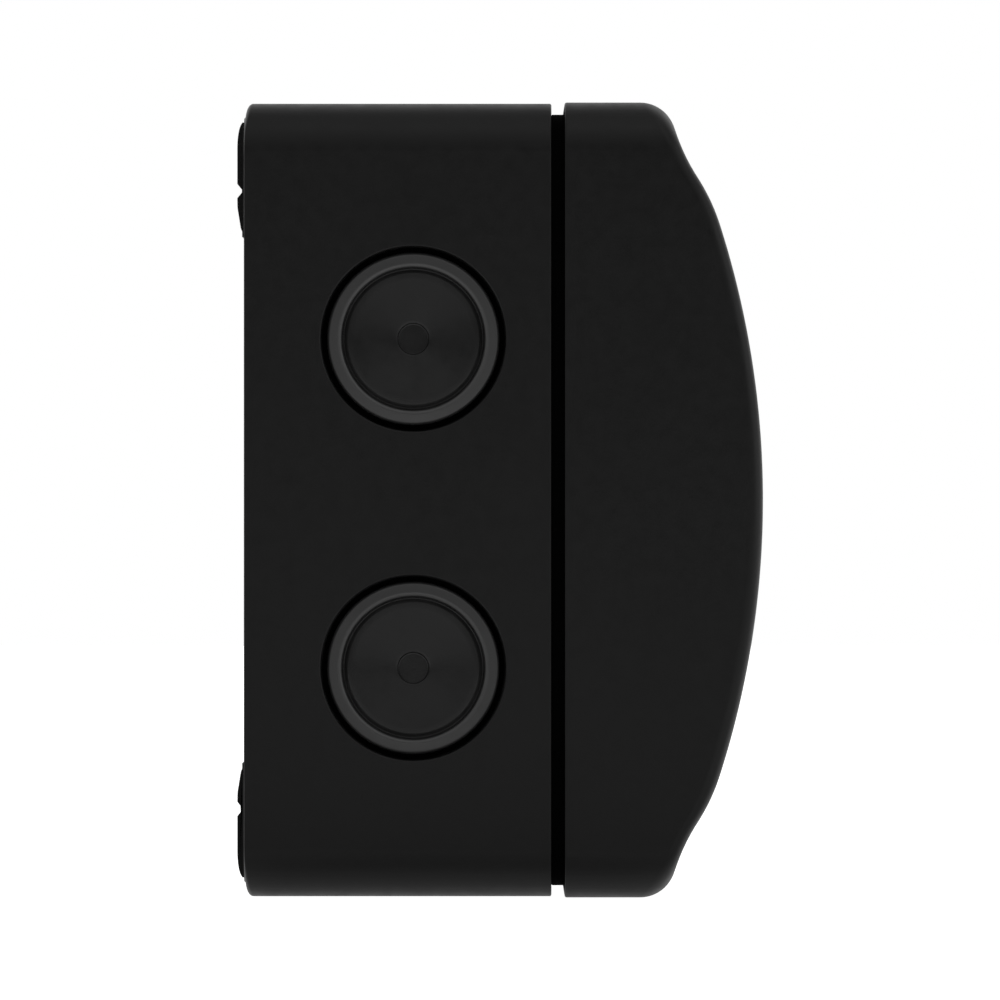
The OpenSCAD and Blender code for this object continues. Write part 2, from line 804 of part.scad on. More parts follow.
module leds(side) color(side == 1 ? [0.8, 0.2, 0.15] : [0.2, 0.7, 0.4]) {
    half = lamp_size / 2;
    for (c = [0 : lamp_columns - 1], r = [0 : lamp_rows - 1]) {
        x = (c - (lamp_columns - 1) / 2) * lamp_pitch_x;
        z = side * window_z + (r - (lamp_rows - 1) / 2) * lamp_pitch_z;
        forward(lamp_top_d, lamp_top_d + lamp_base_t) translate([x, z]) square(lamp_size, center = true);
        intersection() {
            translate([x, bite - lamp_top_d - lamp_base_t, z]) sphere(lamp_dome_r, $fn = lamp_dome_fn);
            block(x - half, x + half, z - half, z + half, lamp_top_d, lamp_top_d + lamp_size);
        }
    }
}

// White box round the lamps of one window, cut off to the bow of the face
module light_box(side) color([0.93, 0.93, 0.92]) {
    difference() {
        intersection() {
            union() {
                forward(lamp_top_d, crown_d) translate([0, side * window_z]) rounded(box_w, box_h, box_r);
                forward(lamp_top_d, lamp_top_d + box_flange_t) translate([0, side * window_z])
                    rounded(lamp_board_w, box_h, lamp_board_r);
            }
            across(cover_w) translate(face_c) circle(box_front_r, $fn = face_fn);
        }
        forward(lamp_top_d - past, crown_d) translate([0, side * window_z])
            square([window_w, box_h - 2 * box_wall], center = true);
    }
    for (x = [-1, 1], s = [-1, 1])
        pin(x * peg_x, side * window_z + s * peg_z, peg_r, chassis_d, lamp_top_d + peg_head_t);
}

module diffuser(side) color([0.96, 0.96, 0.97]) {
    half = box_h / 2 - box_wall;
    across(window_w)
        bowed_sheet(diffuser_back_r, diffuser_front_r, side * window_z - half, side * window_z + half);
}

// ---------------------------------------------------------------- electronics

module driver_board() color([0.1, 0.35, 0.2]) forward(board_d, board_top_d) difference() {
    union() {
        square([board_w, board_h], center = true);
        translate([tab_x[0], tab_z]) square([tab_x[1] - tab_x[0], board_h / 2 - tab_z - board_h + past]);
    }
    for (x = [-1, 1], z = [-1, 1]) translate([x * board_post_x, z * board_post_z]) circle(m3_r + m3_fit);
}

// Route of a flat cable in side view: forward, towards the middle and forward again, with round bends
module link_route() {
    inner = link_bend - link_t / 2;
    low_c = [link_turn_d - link_bend, link_low_z - link_bend];
    high_c = [link_turn_d + link_bend, link_high_z + link_bend];
    band(link_low_d, low_c.x, link_low_z - link_t / 2, link_low_z + link_t / 2);
    intersection() {
        translate(low_c) ring(inner, inner + link_t);
        band(low_c.x, link_turn_d + link_t, low_c.y, link_low_z + link_t);
    }
    band(link_turn_d - link_t / 2, link_turn_d + link_t / 2, high_c.y, low_c.y);
    intersection() {
        translate(high_c) ring(inner, inner + link_t);
        band(link_turn_d - link_t, high_c.x, link_high_z - link_t, high_c.y);
    }
    band(high_c.x, link_high_d, link_high_z - link_t / 2, link_high_z + link_t / 2);
}

module ring(r0, r1) difference() {
    circle(r1);
    circle(r0);
}

module link_cable(side) color([0.55, 0.55, 0.57]) mirror([0, 0, side < 0 ? 1 : 0]) {
    across(link_w, link_x) link_route();
    forward(board_top_d, link_low_d) translate([link_x, link_low_z]) square(plug_body, center = true);
    forward(link_high_d, lamp_d) translate([link_x, link_high_z]) square(plug_body, center = true);
}

// Capacitor can with a bead rolled in near its foot
module capacitor() color([0.15, 0.2, 0.35]) turned_forward(cap_x, cap_z, board_top_d) polygon([
    [0, 0], [cap_r, 0], [cap_r, cap_neck.y - cap_bead_t], cap_neck, [cap_r, cap_neck.y + cap_bead_t],
    [cap_r, cap_l - (cap_r - cap_neck.x)], [cap_neck.x, cap_l], [0, cap_l]
]);

module on_board(x, z, size, up0, up1) {
    block(
        x - size.x / 2, x + size.x / 2, z - size.y / 2, z + size.y / 2,
        board_top_d + up0, board_top_d + up1
    );
}

module transformer() color([0.35, 0.3, 0.15]) {
    on_board(core_x, core_z, core_size, 0, core_t);
    on_board(core_x, core_z, winding_size, core_t, core_t + winding_t);
    on_board(core_x, core_z, core_size, core_t + winding_t, 2 * core_t + winding_t);
}

// A shape of revolution whose axis lies across the board, from its left end
module turned_across(x, z, up) {
    translate([x, -board_top_d - up, z]) rotate([0, 90, 0]) rotate_extrude() children();
}

module fuse() color([0.8, 0.8, 0.82]) {
    l = fuse_x[1] - fuse_x[0];
    turned_across(fuse_x[0], fuse_z, fuse_up) polygon([
        [0, 0], [fuse_cap_r, 0], [fuse_cap_r, fuse_cap_l], [fuse_glass_r, fuse_cap_l],
        [fuse_glass_r, l - fuse_cap_l], [fuse_cap_r, l - fuse_cap_l], [fuse_cap_r, l], [0, l]
    ]);
}

module fuse_clips() color([0.8, 0.7, 0.4]) for (x = clip_x) difference() {
    block(x, x + clip_w, fuse_z - clip_half, fuse_z + clip_half, board_top_d, board_top_d + clip_up);
    turned_across(x - past, fuse_z, fuse_up) square([fuse_cap_r, clip_w + 2 * past]);
    block(
        x - past, x + clip_w + past, fuse_z - clip_mouth, fuse_z + clip_mouth,
        board_top_d + fuse_up, board_top_d + clip_up + past
    );
}

module varistor() color([0.15, 0.3, 0.6]) {
    turned_across(varistor_x[0], varistor_z, varistor_up) square([varistor_r, varistor_x[1] - varistor_x[0]]);
    for (side = [-1, 1]) pin(
        (varistor_x[0] + varistor_x[1]) / 2, varistor_z + side * varistor_pin_z, varistor_pin_r,
        board_top_d, board_top_d + varistor_up / 2
    );
}

module driver_chips() color([0.08, 0.08, 0.08]) for (c = chips)
    block(c[0], c[1], c[2], c[3], board_top_d, board_top_d + c[4]);

// ---------------------------------------------------------------- terminals

function pole_x(i) = terminal_x + (i - (poles + 1) / 2) * pole_pitch;

module terminal_block() color([0.2, 0.45, 0.3]) {
    z0 = terminal_z - terminal_depth / 2;
    half = poles * pole_pitch / 2;
    difference() {
        block(
            terminal_x - half, terminal_x + half, z0, z0 + terminal_depth,
            board_top_d, board_top_d + terminal_t
        );
        for (i = [1 : poles]) {
            block(
                pole_x(i) - wire_size / 2, pole_x(i) + wire_size / 2, z0 - past, terminal_z + leaf_size,
                wire_d, wire_top_d
            );
            pin(pole_x(i), terminal_z, terminal_screw_r + screw_fit, wire_d, well_d + past);
            pin(pole_x(i), terminal_z, well_r, well_d, board_top_d + terminal_t + past);
        }
    }
}

module terminal_screw(i) color([0.7, 0.7, 0.68]) difference() {
    turned_forward(pole_x(i), terminal_z, wire_top_d) polygon([
        [0, 0], [terminal_screw_r, 0], [terminal_screw_r, terminal_head_d - wire_top_d],
        [terminal_head_r, terminal_head_d - wire_top_d],
        [terminal_head_r, terminal_head_d - wire_top_d + terminal_head_t],
        [0, terminal_head_d - wire_top_d + terminal_head_t]
    ]);
    block(
        pole_x(i) - terminal_head_r - past, pole_x(i) + terminal_head_r + past,
        terminal_z - slot_w / 2, terminal_z + slot_w / 2,
        terminal_head_d + terminal_head_t - slot_t, terminal_head_d + terminal_head_t + past
    );
}

module wire_leaf(i) color([0.75, 0.65, 0.4]) block(
    pole_x(i) - leaf_size / 2, pole_x(i) + leaf_size / 2,
    terminal_z - leaf_size / 2, terminal_z + leaf_size / 2,
    wire_top_d - leaf_t, wire_top_d
);

base_housing();
foot_pads();
threaded_inserts();
cable_grommet();
vent_plug();
vent_membrane();
side_plug(plug_upper_z);  // plug_upper
side_plug(plug_lower_z);  // plug_lower
plug_seal(plug_upper_z);  // plug_seal_upper
plug_seal(plug_lower_z);  // plug_seal_lower
cover_gasket();
front_cover();
for (i = [1 : 4]) cover_screw(i);
for (i = [1 : 4]) screw_seal(i);
for (i = [1 : 4]) screw_clip(i);
lens(1);  // lens_red
lens(-1);  // lens_green
lens_gasket(1);  // lens_gasket_red
lens_gasket(-1);  // lens_gasket_green
figure_mask(1);  // figure_mask_red
figure_mask(-1);  // figure_mask_green
lens_frame();
frame_screws();
chassis();
chassis_screws();
led_board(1);  // led_board_red
led_board(-1);  // led_board_green
leds(1);  // leds_red
leds(-1);  // leds_green
light_box(1);  // light_box_red
light_box(-1);  // light_box_green
diffuser(1);  // diffuser_red
diffuser(-1);  // diffuser_green
driver_board();
board_screws();
link_cable(1);  // link_cable_red
link_cable(-1);  // link_cable_green
capacitor();
transformer();
fuse();
fuse_clips();
varistor();
driver_chips();
terminal_block();
for (i = [1 : poles]) terminal_screw(i);
for (i = [1 : poles]) wire_leaf(i);
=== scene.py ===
"""Looks of the compact pedestrian signal: moulded shells, plugs, screws, seals, lenses and lamps."""
import json
import math

import bmesh
import bpy
from mathutils import Matrix, Vector

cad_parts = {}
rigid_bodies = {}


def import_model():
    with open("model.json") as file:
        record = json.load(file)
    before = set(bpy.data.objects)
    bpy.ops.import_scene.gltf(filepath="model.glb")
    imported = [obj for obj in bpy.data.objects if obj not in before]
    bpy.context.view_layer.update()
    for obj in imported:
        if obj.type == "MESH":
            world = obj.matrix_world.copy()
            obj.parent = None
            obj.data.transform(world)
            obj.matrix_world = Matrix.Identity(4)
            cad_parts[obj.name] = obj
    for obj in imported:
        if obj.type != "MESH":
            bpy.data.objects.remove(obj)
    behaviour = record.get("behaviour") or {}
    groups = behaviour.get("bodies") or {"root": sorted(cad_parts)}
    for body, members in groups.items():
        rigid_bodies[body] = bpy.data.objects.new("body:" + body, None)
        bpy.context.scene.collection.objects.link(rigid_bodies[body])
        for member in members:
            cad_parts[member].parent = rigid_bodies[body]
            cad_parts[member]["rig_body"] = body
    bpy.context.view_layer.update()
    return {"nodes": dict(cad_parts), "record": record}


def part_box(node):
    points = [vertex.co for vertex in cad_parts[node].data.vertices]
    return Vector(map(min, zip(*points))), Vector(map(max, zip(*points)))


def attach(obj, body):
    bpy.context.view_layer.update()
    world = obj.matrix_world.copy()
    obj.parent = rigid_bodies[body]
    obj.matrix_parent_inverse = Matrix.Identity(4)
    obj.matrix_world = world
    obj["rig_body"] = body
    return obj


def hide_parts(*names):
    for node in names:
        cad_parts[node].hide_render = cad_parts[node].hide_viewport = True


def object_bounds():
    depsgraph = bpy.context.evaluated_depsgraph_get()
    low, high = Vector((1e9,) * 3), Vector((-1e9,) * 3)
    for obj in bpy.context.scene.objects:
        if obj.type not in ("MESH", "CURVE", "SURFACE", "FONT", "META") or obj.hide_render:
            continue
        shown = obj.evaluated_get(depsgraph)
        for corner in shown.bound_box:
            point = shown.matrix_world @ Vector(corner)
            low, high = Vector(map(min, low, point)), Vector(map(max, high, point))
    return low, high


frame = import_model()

nodes = frame["nodes"]
slots = {part["node"]: part["material_slot"] for part in frame["record"]["subparts"]}

# ---------------------------------------------------------------- sizes

# Shapes are worked out in millimetres and scaled once, when a piece is made. A depth d lies at Y = -d.
MM = 0.001
# The outer skins lie this far inside the CAD's own outside
EPS = 0.01


def box_mm(node):
    """A CAD node's box as (x0, x1), (d0, d1), (z0, z1), in millimetres."""
    low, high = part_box(node)
    return (
        (low[0] / MM, high[0] / MM),
        (-high[1] / MM, -low[1] / MM),
        (low[2] / MM, high[2] / MM),
    )


(_, cover_x1), (cover_back, crown), (_, cover_z1) = box_mm("front_cover")
(_, house_x1), (_, house_rim), (_, house_z1) = box_mm("base_housing")
COVER_W, COVER_H = 2 * cover_x1, 2 * cover_z1
HOUSE_W, HOUSE_H = 2 * house_x1, 2 * house_z1
HOUSE_BACK = 1.15
CORNER_R = 8.0

# The side profile of the cover: the bowed face, a tighter brow, a cove and the rounded edge
FACE_R, FACE_ANGLE = 147.4, math.radians(17.8)
BROW_R, BROW_ANGLE = 32.0, math.radians(33.0)
COVE_R, COVE_ANGLE = 31.4, math.radians(16.6)
SIDE_EDGE_R = 2.3

WINDOW_W, WINDOW_H, WINDOW_R, WINDOW_Z = 84.0, 38.0, 4.0, 22.5
SCREW_X, SCREW_Z, COUNTERBORE_R = 54.0, 56.5, 4.4
# Lens layers behind the face, as radii round its centre, then the lens's play in its window and its flange
LENS_FRONT_R, FLANGE_FRONT_R, LENS_BACK_R = FACE_R - 0.3, FACE_R - 3.8, FACE_R - 5.72
LENS_PLAY, FLANGE_W = 0.2, 2.0

# Roundings of the rims and openings
COVER_RIM_R, HOUSE_RIM_R = 0.35, 0.3
WINDOW_EDGE_R, COUNTERBORE_EDGE_R, RECESS_EDGE_R, LENS_EDGE_R = 0.5, 0.3, 0.4, 0.35
# A cut that rounds an edge ends this far past the surfaces, and cuts and skins reach this far into free space
SKIM, CLEAR = 0.02, 1.0

# The back edge: rounded along the sides, a longer curve in front of a shallow step along the top and bottom
BACK_EDGE_R = 0.3
BACK_CURVE_H, BACK_CURVE_D, BACK_STEP = 2.2, 1.2, 0.28

# Both plugs' axes, and how far from the middle of the box their heads start
PLUG_D, PLUG_Z, PLUG_FOOT = 28.8, (26.3, -27.4), 61.8
PLUG_R, DISC_R, DIMPLE_R = 14.1, 10.6, 3.1
RECESS_R = 15.1
# Radii on a plug where its marks change: the dimple's floor and the rim's inside
DIMPLE_FLOOR_R, RIM_INSIDE_R = 2.6, 11.6
# Radii between which the rim's painted highlight grows and fades, and its crest's brighter painted highlight
HIGHLIGHT_GROWS, HIGHLIGHT_FADES, CREST_HIGHLIGHT_FADES = (11.6, 11.9), (14.2, 13.6), (12.5, 12.0)

FOOT_TOP, FOOT_BOTTOM = 61.7, 43.0
# Height and depth of the crown's rounding at each end of a foot
FOOT_END, FOOT_RAMP = (4.2, 1.0), (6.0, 1.6)
NOTCH_Z, NOTCH_HALF, NOTCH_FLOOR, NOTCH_D = 50.5, 1.15, 0.2, 0.78
FOOT_CUT_X, FOOT_CUT_D = 60.0, 3.0


def polar(angle, r):
    return Vector((math.cos(angle), math.sin(angle))) * r


FACE_C = Vector((crown - FACE_R, 0.0))
BROW_C = FACE_C + polar(FACE_ANGLE, FACE_R - BROW_R)
COVE_C = BROW_C + polar(BROW_ANGLE, BROW_R + COVE_R)
COVE_END = COVE_C - polar(COVE_ANGLE, COVE_R)
FACE_TOP = FACE_R * math.sin(FACE_ANGLE)
BROW_TOP = (BROW_C + polar(BROW_ANGLE, BROW_R)).y
TOP_EDGE_R = (cover_z1 - COVE_END.y) / (1 - math.sin(COVE_ANGLE))


def face_depth(z):
    """Depth of the cover's front at height z, before its outer edge is rounded."""
    z = abs(z)
    if z <= FACE_TOP:
        return FACE_C.x + math.sqrt(FACE_R**2 - z * z)
    if z <= BROW_TOP:
        return BROW_C.x + math.sqrt(BROW_R**2 - (z - BROW_C.y) ** 2)
    if z <= COVE_END.y:
        return COVE_C.x - math.sqrt(COVE_R**2 - (z - COVE_C.y) ** 2)
    return COVE_END.x - math.tan(COVE_ANGLE) * (z - COVE_END.y)


def face_slope(z):
    """How fast the front falls back as z grows away from the middle."""
    step = 0.01
    z = max(abs(z), step)
    return (face_depth(z - step) - face_depth(z + step)) / (2 * step)


def front_surface(x, z):
    """The cover's front skin as edge_cutter asks for it: its depth at a point seen from the front."""
    return face_depth(z) - EPS


def edge_radius(nz):
    """Radius of the cover's front edge: small along the sides, the profile's own at the top and bottom."""
    return SIDE_EDGE_R + (TOP_EDGE_R - SIDE_EDGE_R) * nz * nz


# ---------------------------------------------------------------- outlines and meshes

# Distance at which points are welded, and the angle in degrees above which an edge is drawn sharp
WELD = 1e-4
CREASE = 32
# Turns a lathe's +Z towards the plugs' side (-X)
TO_LEFT = Matrix.Rotation(-math.pi / 2, 4, "Y")


def outline(w, h, r, corner_steps, side_steps=1, top_steps=1):
    """A rounded rectangle as [(x, z, normal x, normal z)], clockwise from the top middle, mirrored in x."""
    half = []
    for i in range(top_steps):
        half.append(((w / 2 - r) * i / top_steps, h / 2, 0.0, 1.0))
    for i in range(corner_steps + 1):
        a = math.pi / 2 * (1 - i / corner_steps)
        half.append((w / 2 - r + r * math.cos(a), h / 2 - r + r * math.sin(a), math.cos(a), math.sin(a)))
    for i in range(1, side_steps):
        half.append((w / 2, (h / 2 - r) * (1 - 2 * i / side_steps), 1.0, 0.0))
    for i in range(corner_steps + 1):
        a = -math.pi / 2 * i / corner_steps
        half.append((w / 2 - r + r * math.cos(a), r - h / 2 + r * math.sin(a), math.cos(a), math.sin(a)))
    for i in range(top_steps - 1, -1, -1):
        half.append(((w / 2 - r) * i / top_steps, -h / 2, 0.0, -1.0))
    return half + [(-x, z, -nx, nz) for x, z, nx, nz in reversed(half[1:-1])]


def shifted(ring, x, z):
    return [(px + x, pz + z, nx, nz) for px, pz, nx, nz in ring]


def circle_ring(x, z, r):
    """A circle in the same form as an outline."""
    steps = 64
    turns = [2 * math.pi * i / steps for i in range(steps)]
    return [(x + r * math.cos(t), z + r * math.sin(t), math.cos(t), math.sin(t)) for t in turns]


def ring_3d(ring, inset, d):
    """A front-view outline, moved inwards, at one depth."""
    return [(x - nx * inset, -d, z - nz * inset) for x, z, nx, nz in ring]


def bowed_ring(ring, inset, r, back=0.0):
    """An outline moved inwards and laid on the bowed sheet of radius r, or back behind it."""
    points = []
    for x, z, nx, nz in ring:
        pz = z - nz * inset
        points.append((x - nx * inset, -(FACE_C.x + math.sqrt(r * r - pz * pz) - back), pz))
    return points


def arc_points(cx, cy, r, a0, a1, steps):
    """Points on an arc, angles in degrees."""
    out = []
    for i in range(steps + 1):
        a = math.radians(a0 + (a1 - a0) * i / steps)
        out.append((cx + r * math.cos(a), cy + r * math.sin(a)))
    return out


def loft(rows, caps=(True, True), closed=False):
    """A mesh through rings of points. caps closes the two end rings, closed joins the last to the first."""
    bm = bmesh.new()
    rings = [[bm.verts.new(p) for p in row] for row in rows]
    count = len(rings[0])
    pairs = list(zip(rings, rings[1:]))
    if closed:
        pairs.append((rings[-1], rings[0]))
    for a, b in pairs:
        for i in range(count):
            j = (i + 1) % count
            bm.faces.new((a[i], a[j], b[j], b[i]))
    if not closed:
        if caps[0]:
            bm.faces.new(rings[0])
        if caps[1]:
            bm.faces.new(rings[-1])
    bmesh.ops.recalc_face_normals(bm, faces=bm.faces)
    return bm


def rule_across(bm, ring):
    """Closes a mirrored ring of vertices with a bowed sheet, ruled from left to right."""
    count = len(ring)
    for i in range(count // 2):
        a, b = ring[i], ring[i + 1]
        c, d = ring[-(i + 1) % count], ring[-i % count]
        corners = list(dict.fromkeys([a, b, c, d]))
        if len(corners) > 2 and abs(a.co.z - b.co.z) > 1e-9:
            bm.faces.new(corners)


def close_strips(bm):
    """Closes what is left open along the straight top and bottom of ruled sheets."""
    open_edges = [e for e in bm.edges if len(e.link_faces) == 1]
    if open_edges:
        bmesh.ops.holes_fill(bm, edges=open_edges, sides=0)
    bmesh.ops.recalc_face_normals(bm, faces=bm.faces)
    return bm


def lathe(profile, steps):
    """A shape of revolution round +Z from (radius, height) points that start and end on the axis."""
    bm = bmesh.new()
    rings = []
    for r, h in profile:
        if r < 1e-6:
            rings.append([bm.verts.new((0, 0, h))])
            continue
        ring = []
        for i in range(steps):
            a = 2 * math.pi * i / steps
            ring.append(bm.verts.new((r * math.cos(a), r * math.sin(a), h)))
        rings.append(ring)
    for a, b in zip(rings, rings[1:]):
        for i in range(steps):
            j = (i + 1) % steps
            corners = [a[i % len(a)], a[j % len(a)], b[j % len(b)], b[i % len(b)]]
            corners = list(dict.fromkeys(corners))
            if len(corners) > 2:
                bm.faces.new(corners)
    bmesh.ops.recalc_face_normals(bm, faces=bm.faces)
    return bm


def placed(bm, matrix):
    bmesh.ops.transform(bm, matrix=matrix, verts=bm.verts)
    return bm


def joined(parts):
    """One bmesh from several that don't touch."""
    out = bmesh.new()
    for bm in parts:
        mesh = bpy.data.meshes.new("temp")
        bm.to_mesh(mesh)
        bm.free()
        out.from_mesh(mesh)
        bpy.data.meshes.remove(mesh)
    return out


def temp_object(bm):
    mesh = bpy.data.meshes.new("temp")
    bm.to_mesh(mesh)
    bm.free()
    obj = bpy.data.objects.new("temp", mesh)
    bpy.context.scene.collection.objects.link(obj)
    return obj


def combine(base, tools):
    """Applies [(operation, bmesh)] to a bmesh with exact booleans and returns the result."""
    obj = temp_object(base)
    for operation, tool in tools:
        cutter = temp_object(tool)
        modifier = obj.modifiers.new("cut", "BOOLEAN")
        modifier.operation = operation
        modifier.solver = "EXACT"
        modifier.object = cutter
        graph = bpy.context.evaluated_depsgraph_get()
        result = bpy.data.meshes.new_from_object(obj.evaluated_get(graph))
        obj.modifiers.clear()
        old, obj.data = obj.data, result
        bpy.data.meshes.remove(old)
        tool_mesh = cutter.data
        bpy.data.objects.remove(cutter)
        bpy.data.meshes.remove(tool_mesh)
    out = bmesh.new()
    out.from_mesh(obj.data)
    mesh = obj.data
    bpy.data.objects.remove(obj)
    bpy.data.meshes.remove(mesh)
    bmesh.ops.remove_doubles(out, verts=out.verts, dist=WELD)
    return out


def cad_copy(node):
    """A CAD node's solid as a welded bmesh in millimetres."""
    bm = bmesh.new()
    bm.from_mesh(nodes[node].data)
    bmesh.ops.scale(bm, vec=(1 / MM,) * 3, verts=bm.verts)
    bmesh.ops.remove_doubles(bm, verts=bm.verts, dist=WELD)
    return bm


def edge_cutter(ring, surface, r):
    """Rounds the edge where a hole with this outline meets a surface: a loft that removes the sharp corner.

    ring is [(x, z, normal x, normal z)] with normals out of the hole, surface(x, z) is the depth there.
    """
    sink = r - SKIM
    arc = [(sink + q, -sink + h) for q, h in arc_points(0, 0, r, 180, 90, 7)]
    section = [(-CLEAR, -sink)] + arc + [(sink, CLEAR), (-CLEAR, CLEAR)]
    rows = []
    for q, h in section:
        row = []
        for x, z, nx, nz in ring:
            px, pz = x + nx * q, z + nz * q
            row.append((px, -(surface(px, pz) + h), pz))
        rows.append(row)
    return loft(rows, closed=True)


def make_piece(name, bm, node):
    """Turns a bmesh in millimetres into a piece that stands for a CAD node: same body, same finish."""
    bmesh.ops.scale(bm, vec=(MM,) * 3, verts=bm.verts)
    for face in bm.faces:
        face.smooth = True
    for edge in bm.edges:
        edge.smooth = len(edge.link_faces) == 2 and edge.calc_face_angle(0) < math.radians(CREASE)
    mesh = bpy.data.meshes.new(name)
    bm.to_mesh(mesh)
    bm.free()
    mesh.materials.clear()
    mesh.materials.append(finish[slots[node]])
    obj = bpy.data.objects.new(name, mesh)
    bpy.context.scene.collection.objects.link(obj)
    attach(obj, nodes[node]["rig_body"])
    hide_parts(node)
    weighted = obj.modifiers.new("even_normals", "WEIGHTED_NORMAL")
    weighted.mode = "FACE_AREA"
    weighted.keep_sharp = True


# ---------------------------------------------------------------- shader nodes


def node_tree(name):
    mat = bpy.data.materials.new(name)
    mat.use_nodes = True
    tree = mat.node_tree
    shader = next(n for n in tree.nodes if n.type == "BSDF_PRINCIPLED")
    return mat, tree, shader


def feed(tree, node, key, value):
    """Links a socket to an input, or sets a plain value on it."""
    if isinstance(value, bpy.types.NodeSocket):
        tree.links.new(value, node.inputs[key])
    else:
        node.inputs[key].default_value = value


def add(tree, kind, inputs=None, **props):
    node = tree.nodes.new("ShaderNode" + kind)
    for key, value in props.items():
        setattr(node, key, value)
    for key, value in (inputs or {}).items():
        feed(tree, node, key, value)
    return node


def position_mm(tree, stretch=(1, 1, 1)):
    """Object coordinates in millimetres, so that textures keep their real size."""
    coords = add(tree, "TexCoord").outputs["Object"]
    scale = [s / MM for s in stretch]
    return add(tree, "Mapping", {"Vector": coords, "Scale": scale}).outputs["Vector"]


def noise(tree, at, size, detail=4.0, rough=0.55):
    """Noise from 0 to 1 whose blotches are about size millimetres across."""
    node = add(tree, "TexNoise", {"Vector": at, "Scale": 1 / size, "Detail": detail, "Roughness": rough})
    return node.outputs["Fac"]


def ramp(tree, value, low, high, to_low=0.0, to_high=1.0):
    limits = {"From Min": low, "From Max": high, "To Min": to_low, "To Max": to_high}
    return add(tree, "MapRange", {"Value": value, **limits}).outputs["Result"]


def math_node(tree, operation, a, b=0.0):
    return add(tree, "Math", {0: a, 1: b}, operation=operation).outputs[0]


def times(tree, a, b):
    return math_node(tree, "MULTIPLY", a, b)


def plus(tree, a, b):
    return math_node(tree, "ADD", a, b)


def vector_math(tree, operation, inputs, output):
    return add(tree, "VectorMath", inputs, operation=operation).outputs[output]


def mix(tree, factor, a, b):
    return add(tree, "Mix", {0: factor, 6: a, 7: b}, data_type="RGBA").outputs[2]


def grey(value, tint=(1.0, 1.0, 1.0)):
    return (value * tint[0], value * tint[1], value * tint[2], 1.0)


def bump(tree, height, depth):
    """Bump whose full height is depth millimetres."""
    return add(tree, "Bump", {"Height": height, "Distance": depth * MM, "Strength": 1.0}).outputs["Normal"]


def edge_wear(tree, radius, at):
    """1 on a rubbed edge, 0 on open faces, broken up by noise."""
    soft = add(tree, "Bevel", {"Radius": radius * MM}, samples=4).outputs["Normal"]
    flat = add(tree, "NewGeometry").outputs["Normal"]
    edge = ramp(tree, vector_math(tree, "DOT_PRODUCT", {0: soft, 1: flat}, "Value"), 0.995, 0.8)
    return times(tree, edge, ramp(tree, noise(tree, at, 1.4), 0.42, 0.62))


def dress(tree, shader, colour, roughness, normal):
    for key, value in (("Base Color", colour), ("Roughness", roughness), ("Normal", normal)):
        tree.links.new(value, shader.inputs[key])


# ---------------------------------------------------------------- materials


def plastic(
    name, tone, rough, tint=(1, 1, 1), grain=0.45, grain_depth=0.018, wear=0.0, specular=0.5, spread=0.18
):
    """Moulded plastic with a spark-eroded grain, slow changes of tone, and edges rubbed lighter."""
    mat, tree, shader = node_tree(name)
    at = position_mm(tree)
    slow = noise(tree, at, 26.0, detail=2.0)
    mottle = noise(tree, at, 2.4, detail=5.0)
    fine = noise(tree, at, grain, detail=3.0, rough=0.6)
    level = plus(tree, times(tree, slow, 0.6), times(tree, mottle, 0.4))
    dark, light = grey(tone * (1 - spread), tint), grey(tone * (1 + spread), tint)
    colour = mix(tree, ramp(tree, level, 0.35, 0.65), dark, light)
    if wear:
        worn = times(tree, edge_wear(tree, 0.35, at), wear)
        colour = mix(tree, worn, colour, grey(tone * 2.6, tint))
    roughness = ramp(tree, mottle, 0.3, 0.7, rough - 0.05, rough + 0.05)
    dress(tree, shader, colour, roughness, bump(tree, fine, grain_depth))
    shader.inputs["Specular IOR Level"].default_value = specular
    return mat


def rubber(name, tone, rough=0.7, specular=0.35):
    """Matt rubber with a powdery bloom."""
    mat, tree, shader = node_tree(name)
    at = position_mm(tree)
    bloom = noise(tree, at, 3.0, detail=6.0, rough=0.65)
    fine = noise(tree, at, 0.25, detail=3.0)
    colour = mix(tree, ramp(tree, bloom, 0.35, 0.7), grey(tone * 0.8), grey(tone * 1.5))
    roughness = ramp(tree, bloom, 0.3, 0.7, rough - 0.08, rough + 0.08)
    dress(tree, shader, colour, roughness, bump(tree, fine, 0.02))
    shader.inputs["Specular IOR Level"].default_value = specular
    return mat


def metal(name, colour, rough, brush=(1, 1, 1), brush_size=0.12):
    """Metal with stained patches and brush or plating marks, which brush squeezes along an axis."""
    mat, tree, shader = node_tree(name)
    streaks = noise(tree, position_mm(tree, brush), brush_size, detail=4.0)
    stain = noise(tree, position_mm(tree), 4.0, detail=5.0, rough=0.6)
    stained = mix(tree, ramp(tree, stain, 0.35, 0.65), grey(0.82, colour), grey(1.0, colour))
    roughness = ramp(tree, streaks, 0.25, 0.75, rough - 0.08, rough + 0.1)
    dress(tree, shader, stained, roughness, bump(tree, streaks, 0.004))
    shader.inputs["Metallic"].default_value = 1.0
    return mat


def clear(name, colour, rough):
    """Tinted clear plastic with faint moulding waves."""
    mat, tree, shader = node_tree(name)
    at = position_mm(tree)
    waves = noise(tree, at, 9.0, detail=2.0)
    specks = noise(tree, at, 0.8, detail=4.0)
    tinted = mix(tree, ramp(tree, waves, 0.35, 0.65), grey(0.86, colour), grey(1.0, colour))
    dress(tree, shader, tinted, ramp(tree, specks, 0.3, 0.8, rough, rough + 0.05), bump(tree, waves, 0.012))
    shader.inputs["Transmission Weight"].default_value = 1.0
    shader.inputs["IOR"].default_value = 1.49
    return mat


